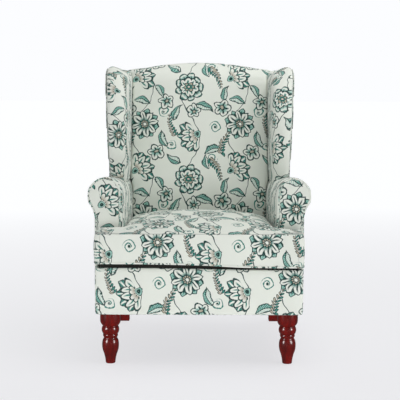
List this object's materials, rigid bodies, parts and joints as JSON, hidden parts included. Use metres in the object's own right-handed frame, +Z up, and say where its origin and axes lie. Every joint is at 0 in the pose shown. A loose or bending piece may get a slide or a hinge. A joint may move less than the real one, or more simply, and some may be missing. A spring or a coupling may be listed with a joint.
{
  "type": "wingback armchair",
  "caption": "Upholstered wing armchair with rolled arms, an arched back, a loose T-shaped seat cushion and turned front legs, for sitting in a living room.",
  "frame": {"origin": "on the floor, at the middle of the chair's width and depth", "axes": "+Z up, -Y the way the sitter faces, +X the sitter's left"},
  "size_m": [0.7558, 0.775, 1.013],
  "materials": {
    "floral_fabric": "matte",
    "deck_fabric": "matte",
    "dust_cloth": "matte",
    "lacquered_wood": "gloss",
    "frame_wood": "matte",
    "webbing": "matte",
    "spring_steel": "satin",
    "nylon": "satin"
  },
  "bodies": {
    "chair": {"arm_facing_left": "floral_fabric", "arm_facing_right": "floral_fabric", "arm_pad_left": "floral_fabric", "arm_pad_right": "floral_fabric", "arm_rail_left": "frame_wood", "arm_rail_right": "frame_wood", "arm_stump_left": "frame_wood", "arm_stump_right": "frame_wood", "arm_welt_left": "floral_fabric", "arm_welt_right": "floral_fabric", "back_post_left": "frame_wood", "back_post_right": "frame_wood", "back_tack_rail": "frame_wood", "back_web_1": "webbing", "back_web_2": "webbing", "back_web_3": "webbing", "crest_rail": "frame_wood", "dust_cover": "dust_cloth", "front_border": "floral_fabric", "front_corner_block_left": "frame_wood", "front_corner_block_right": "frame_wood", "front_glide_left": "nylon", "front_glide_right": "nylon", "front_leg_bolt_left": "spring_steel", "front_leg_bolt_right": "spring_steel", "front_leg_left": "lacquered_wood", "front_leg_right": "lacquered_wood", "front_rail": "frame_wood", "inside_back": "floral_fabric", "outside_arm_left": "floral_fabric", "outside_arm_right": "floral_fabric", "outside_back": "floral_fabric", "outside_wing_left": "floral_fabric", "outside_wing_right": "floral_fabric", "rear_corner_block_left": "frame_wood", "rear_corner_block_right": "frame_wood", "rear_glide_left": "nylon", "rear_glide_right": "nylon", "rear_leg_bolt_left": "spring_steel", "rear_leg_bolt_right": "spring_steel", "rear_leg_left": "lacquered_wood", "rear_leg_right": "lacquered_wood", "rear_rail": "frame_wood", "seat_deck": "deck_fabric", "seat_spring_1": "spring_steel", "seat_spring_2": "spring_steel", "seat_spring_3": "spring_steel", "seat_spring_4": "spring_steel", "seat_spring_5": "spring_steel", "side_rail_left": "frame_wood", "side_rail_right": "frame_wood", "wing_frame_left": "frame_wood", "wing_frame_right": "frame_wood", "wing_pad_left": "floral_fabric", "wing_pad_right": "floral_fabric"},
    "cushion": {"seat_cushion": "floral_fabric", "cushion_welt": "floral_fabric"}
  },
  "joints": [
    {"name": "seat_cushion_lift", "type": "slide", "parent": "chair", "child": "cushion", "axis": [0, 0, 1], "range_m": [0, 0.3]}
  ]
}
